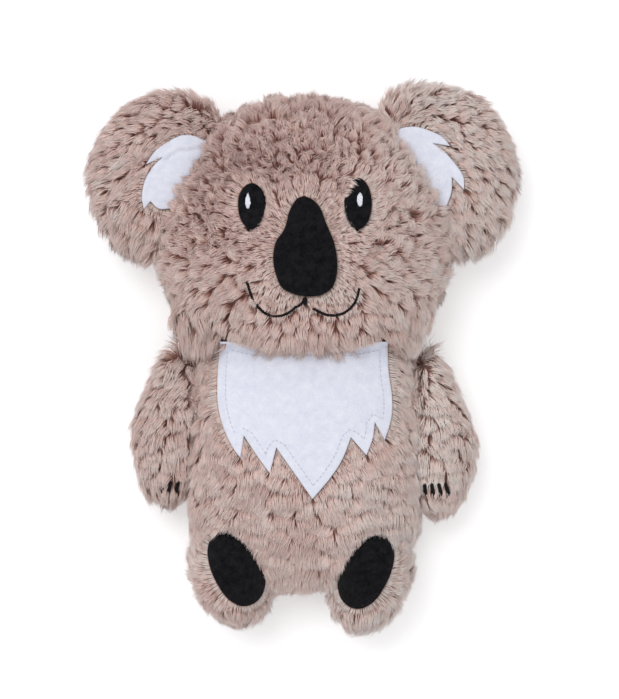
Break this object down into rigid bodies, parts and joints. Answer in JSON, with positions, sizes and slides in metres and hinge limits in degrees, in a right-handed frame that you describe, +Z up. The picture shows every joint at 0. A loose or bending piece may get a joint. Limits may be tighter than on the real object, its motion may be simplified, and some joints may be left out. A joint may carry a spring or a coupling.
{
  "type": "plush koala",
  "caption": "Long-pile plush koala lying on its back, with felt chest bib, nose, eyes, ear linings and foot pads, and limbs, ears and head that flex at their seams.",
  "frame": {"origin": "middle of the toy's outline, on the surface that it lies on", "axes": "+X to the right as seen from the front, +Y from the feet to the top of the head, +Z up through the face and belly"},
  "size_m": [0.2512, 0.3248, 0.0848],
  "materials": {
    "plush": "matte",
    "white_felt": "matte",
    "black_felt": "matte",
    "black_thread": "satin",
    "white_thread": "satin",
    "fibre_fill": "matte"
  },
  "bodies": {
    "torso": {"torso_front_panel": "plush", "torso_back_panel": "plush", "torso_stuffing": "fibre_fill", "chest_bib": "white_felt"},
    "head": {"head_front_panel": "plush", "head_back_panel": "plush", "head_stuffing": "fibre_fill", "nose": "black_felt", "left_eye": "black_felt", "left_eye_highlight": "white_thread", "right_eye": "black_felt", "right_eye_highlight": "white_thread", "left_mouth_thread": "black_thread", "right_mouth_thread": "black_thread", "mouth_knot": "black_thread"},
    "left_ear": {"left_ear_front_panel": "plush", "left_ear_back_panel": "plush", "left_ear_stuffing": "fibre_fill", "left_inner_ear_felt": "white_felt"},
    "right_ear": {"right_ear_front_panel": "plush", "right_ear_back_panel": "plush", "right_ear_stuffing": "fibre_fill", "right_inner_ear_felt": "white_felt"},
    "left_arm": {"left_arm_front_panel": "plush", "left_arm_back_panel": "plush", "left_arm_stuffing": "fibre_fill", "left_claw_1": "black_thread", "left_claw_2": "black_thread", "left_claw_3": "black_thread", "left_claw_4": "black_thread"},
    "right_arm": {"right_arm_front_panel": "plush", "right_arm_back_panel": "plush", "right_arm_stuffing": "fibre_fill", "right_claw_1": "black_thread", "right_claw_2": "black_thread", "right_claw_3": "black_thread", "right_claw_4": "black_thread"},
    "left_leg": {"left_leg_front_panel": "plush", "left_leg_back_panel": "plush", "left_leg_stuffing": "fibre_fill", "left_foot_pad": "black_felt"},
    "right_leg": {"right_leg_front_panel": "plush", "right_leg_back_panel": "plush", "right_leg_stuffing": "fibre_fill", "right_foot_pad": "black_felt"}
  },
  "joints": [
    {"name": "neck_nod", "type": "hinge", "parent": "torso", "child": "head", "pos_m": [0.00145, 0.00787, 0.067], "axis": [1, 0, 0], "range_deg": [0, 25]},
    {"name": "left_ear_fold", "type": "hinge", "parent": "head", "child": "left_ear", "pos_m": [-0.05655, 0.14387, 0.0496], "axis": [0.2971, 0.9549, 0], "range_deg": [0, 35]},
    {"name": "right_ear_fold", "type": "hinge", "parent": "head", "child": "right_ear", "pos_m": [0.05945, 0.14387, 0.0496], "axis": [0.3032, -0.9529, 0], "range_deg": [0, 35]},
    {"name": "left_arm_raise", "type": "hinge", "parent": "torso", "child": "left_arm", "pos_m": [-0.06455, -0.01013, 0.028], "axis": [-1, 0, 0], "range_deg": [0, 80]},
    {"name": "right_arm_raise", "type": "hinge", "parent": "torso", "child": "right_arm", "pos_m": [0.06745, -0.01013, 0.028], "axis": [-1, 0, 0], "range_deg": [0, 80]},
    {"name": "left_leg_raise", "type": "hinge", "parent": "torso", "child": "left_leg", "pos_m": [-0.04155, -0.09613, 0.062], "axis": [-1, 0, 0], "range_deg": [0, 60]},
    {"name": "right_leg_raise", "type": "hinge", "parent": "torso", "child": "right_leg", "pos_m": [0.03945, -0.09613, 0.062], "axis": [-1, 0, 0], "range_deg": [0, 60]}
  ]
}
